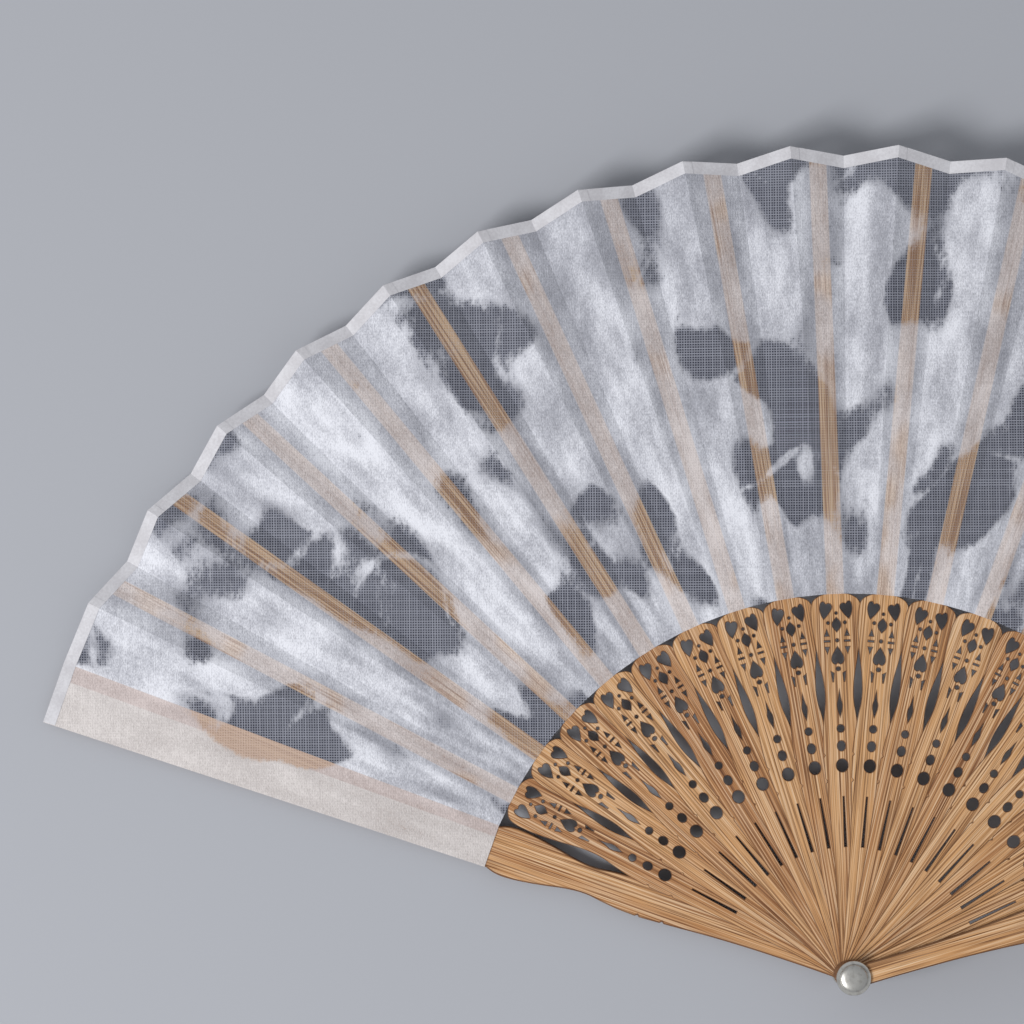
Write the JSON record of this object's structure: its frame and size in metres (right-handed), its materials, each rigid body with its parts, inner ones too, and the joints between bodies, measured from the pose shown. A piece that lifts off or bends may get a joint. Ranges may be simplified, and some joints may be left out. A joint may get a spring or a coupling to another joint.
{
  "type": "folding fan",
  "caption": "Open hand fan: pierced bamboo blades between two plain guards turn on one rivet, under a pleated leaf of sheer cloth with a bound edge.",
  "frame": {"origin": "on the rivet's axis, on the flat of its lower head, which is the lowest point", "axes": "+Z along the rivet, from the left guard up to the right guard; +Y the middle of the open fan, from the rivet to the leaf; +X towards the right guard"},
  "size_m": [0.4074, 0.2112, 0.0265],
  "materials": {
    "bamboo_blade": "satin, fine lengthwise grain",
    "bamboo_guard": "satin, fine lengthwise grain",
    "leaf_cloth": "sheer gauze with opaque fibre patches",
    "leaf_binding": "matt folded strip",
    "rivet_metal": "dull nickel",
    "washer_metal": "dull nickel"
  },
  "bodies": {
    "guard_left": {"guard_left": "bamboo_guard", "rivet": "rivet_metal", "washer_lower": "washer_metal", "washer_upper": "washer_metal", "leaf_end_left": "leaf_cloth"},
    "stick_01": {"stick_01": "bamboo_blade", "leaf_panel_01": "leaf_cloth", "leaf_fold_01": "leaf_cloth"},
    "stick_02": {"stick_02": "bamboo_blade", "leaf_panel_02": "leaf_cloth", "leaf_fold_02": "leaf_cloth"},
    "stick_03": {"stick_03": "bamboo_blade", "leaf_panel_03": "leaf_cloth", "leaf_fold_03": "leaf_cloth"},
    "stick_04": {"stick_04": "bamboo_blade", "leaf_panel_04": "leaf_cloth", "leaf_fold_04": "leaf_cloth"},
    "stick_05": {"stick_05": "bamboo_blade", "leaf_panel_05": "leaf_cloth", "leaf_fold_05": "leaf_cloth"},
    "stick_06": {"stick_06": "bamboo_blade", "leaf_panel_06": "leaf_cloth", "leaf_fold_06": "leaf_cloth"},
    "stick_07": {"stick_07": "bamboo_blade", "leaf_panel_07": "leaf_cloth", "leaf_fold_07": "leaf_cloth"},
    "stick_08": {"stick_08": "bamboo_blade", "leaf_panel_08": "leaf_cloth", "leaf_fold_08": "leaf_cloth"},
    "stick_09": {"stick_09": "bamboo_blade", "leaf_panel_09": "leaf_cloth", "leaf_fold_09": "leaf_cloth"},
    "stick_10": {"stick_10": "bamboo_blade", "leaf_panel_10": "leaf_cloth", "leaf_fold_10": "leaf_cloth"},
    "stick_11": {"stick_11": "bamboo_blade", "leaf_panel_11": "leaf_cloth", "leaf_fold_11": "leaf_cloth"},
    "stick_12": {"stick_12": "bamboo_blade", "leaf_panel_12": "leaf_cloth", "leaf_fold_12": "leaf_cloth"},
    "stick_13": {"stick_13": "bamboo_blade", "leaf_panel_13": "leaf_cloth", "leaf_fold_13": "leaf_cloth"},
    "stick_14": {"stick_14": "bamboo_blade", "leaf_panel_14": "leaf_cloth", "leaf_fold_14": "leaf_cloth"},
    "stick_15": {"stick_15": "bamboo_blade", "leaf_panel_15": "leaf_cloth", "leaf_fold_15": "leaf_cloth"},
    "stick_16": {"stick_16": "bamboo_blade", "leaf_panel_16": "leaf_cloth", "leaf_fold_16": "leaf_cloth"},
    "stick_17": {"stick_17": "bamboo_blade", "leaf_panel_17": "leaf_cloth", "leaf_fold_17": "leaf_cloth"},
    "stick_18": {"stick_18": "bamboo_blade", "leaf_panel_18": "leaf_cloth"},
    "guard_right": {"guard_right": "bamboo_guard", "leaf_end_right": "leaf_cloth"}
  },
  "joints": [
    {"name": "close_01", "type": "hinge", "parent": "guard_left", "child": "stick_01", "pos_m": [0, 0, 0.0044], "axis": [0, 0, 1], "range_deg": [0, 8.43], "deforming": ["leaf_end_left"]},
    {"name": "close_02", "type": "hinge", "parent": "stick_01", "child": "stick_02", "pos_m": [0, 0, 0.0054], "axis": [0, 0, 1], "range_deg": [0, 7.49], "deforming": ["leaf_fold_01"]},
    {"name": "close_03", "type": "hinge", "parent": "stick_02", "child": "stick_03", "pos_m": [0, 0, 0.0064], "axis": [0, 0, 1], "range_deg": [0, 7.49], "deforming": ["leaf_fold_02"]},
    {"name": "close_04", "type": "hinge", "parent": "stick_03", "child": "stick_04", "pos_m": [0, 0, 0.0074], "axis": [0, 0, 1], "range_deg": [0, 7.49], "deforming": ["leaf_fold_03"]},
    {"name": "close_05", "type": "hinge", "parent": "stick_04", "child": "stick_05", "pos_m": [0, 0, 0.0084], "axis": [0, 0, 1], "range_deg": [0, 7.49], "deforming": ["leaf_fold_04"]},
    {"name": "close_06", "type": "hinge", "parent": "stick_05", "child": "stick_06", "pos_m": [0, 0, 0.0094], "axis": [0, 0, 1], "range_deg": [0, 7.49], "deforming": ["leaf_fold_05"]},
    {"name": "close_07", "type": "hinge", "parent": "stick_06", "child": "stick_07", "pos_m": [0, 0, 0.0104], "axis": [0, 0, 1], "range_deg": [0, 7.49], "deforming": ["leaf_fold_06"]},
    {"name": "close_08", "type": "hinge", "parent": "stick_07", "child": "stick_08", "pos_m": [0, 0, 0.0114], "axis": [0, 0, 1], "range_deg": [0, 7.49], "deforming": ["leaf_fold_07"]},
    {"name": "close_09", "type": "hinge", "parent": "stick_08", "child": "stick_09", "pos_m": [0, 0, 0.0124], "axis": [0, 0, 1], "range_deg": [0, 7.49], "deforming": ["leaf_fold_08"]},
    {"name": "close_10", "type": "hinge", "parent": "stick_09", "child": "stick_10", "pos_m": [0, 0, 0.0134], "axis": [0, 0, 1], "range_deg": [0, 7.49], "deforming": ["leaf_fold_09"]},
    {"name": "close_11", "type": "hinge", "parent": "stick_10", "child": "stick_11", "pos_m": [0, 0, 0.0144], "axis": [0, 0, 1], "range_deg": [0, 7.49], "deforming": ["leaf_fold_10"]},
    {"name": "close_12", "type": "hinge", "parent": "stick_11", "child": "stick_12", "pos_m": [0, 0, 0.0154], "axis": [0, 0, 1], "range_deg": [0, 7.49], "deforming": ["leaf_fold_11"]},
    {"name": "close_13", "type": "hinge", "parent": "stick_12", "child": "stick_13", "pos_m": [0, 0, 0.0164], "axis": [0, 0, 1], "range_deg": [0, 7.49], "deforming": ["leaf_fold_12"]},
    {"name": "close_14", "type": "hinge", "parent": "stick_13", "child": "stick_14", "pos_m": [0, 0, 0.0174], "axis": [0, 0, 1], "range_deg": [0, 7.49], "deforming": ["leaf_fold_13"]},
    {"name": "close_15", "type": "hinge", "parent": "stick_14", "child": "stick_15", "pos_m": [0, 0, 0.0184], "axis": [0, 0, 1], "range_deg": [0, 7.49], "deforming": ["leaf_fold_14"]},
    {"name": "close_16", "type": "hinge", "parent": "stick_15", "child": "stick_16", "pos_m": [0, 0, 0.0194], "axis": [0, 0, 1], "range_deg": [0, 7.49], "deforming": ["leaf_fold_15"]},
    {"name": "close_17", "type": "hinge", "parent": "stick_16", "child": "stick_17", "pos_m": [0, 0, 0.0204], "axis": [0, 0, 1], "range_deg": [0, 7.49], "deforming": ["leaf_fold_16"]},
    {"name": "close_18", "type": "hinge", "parent": "stick_17", "child": "stick_18", "pos_m": [0, 0, 0.0214], "axis": [0, 0, 1], "range_deg": [0, 7.49], "deforming": ["leaf_fold_17"]},
    {"name": "close_19", "type": "hinge", "parent": "stick_18", "child": "guard_right", "pos_m": [0, 0, 0.0224], "axis": [0, 0, 1], "range_deg": [0, 8.43], "deforming": ["leaf_end_right"]}
  ],
  "couplings": [
    {"joint": "close_02", "follows": "close_01", "ratio": 0.88814},
    {"joint": "close_03", "follows": "close_01", "ratio": 0.88814},
    {"joint": "close_04", "follows": "close_01", "ratio": 0.88814},
    {"joint": "close_05", "follows": "close_01", "ratio": 0.88814},
    {"joint": "close_06", "follows": "close_01", "ratio": 0.88814},
    {"joint": "close_07", "follows": "close_01", "ratio": 0.88814},
    {"joint": "close_08", "follows": "close_01", "ratio": 0.88814},
    {"joint": "close_09", "follows": "close_01", "ratio": 0.88814},
    {"joint": "close_10", "follows": "close_01", "ratio": 0.88814},
    {"joint": "close_11", "follows": "close_01", "ratio": 0.88814},
    {"joint": "close_12", "follows": "close_01", "ratio": 0.88814},
    {"joint": "close_13", "follows": "close_01", "ratio": 0.88814},
    {"joint": "close_14", "follows": "close_01", "ratio": 0.88814},
    {"joint": "close_15", "follows": "close_01", "ratio": 0.88814},
    {"joint": "close_16", "follows": "close_01", "ratio": 0.88814},
    {"joint": "close_17", "follows": "close_01", "ratio": 0.88814},
    {"joint": "close_18", "follows": "close_01", "ratio": 0.88814},
    {"joint": "close_19", "follows": "close_01", "ratio": 1}
  ]
}
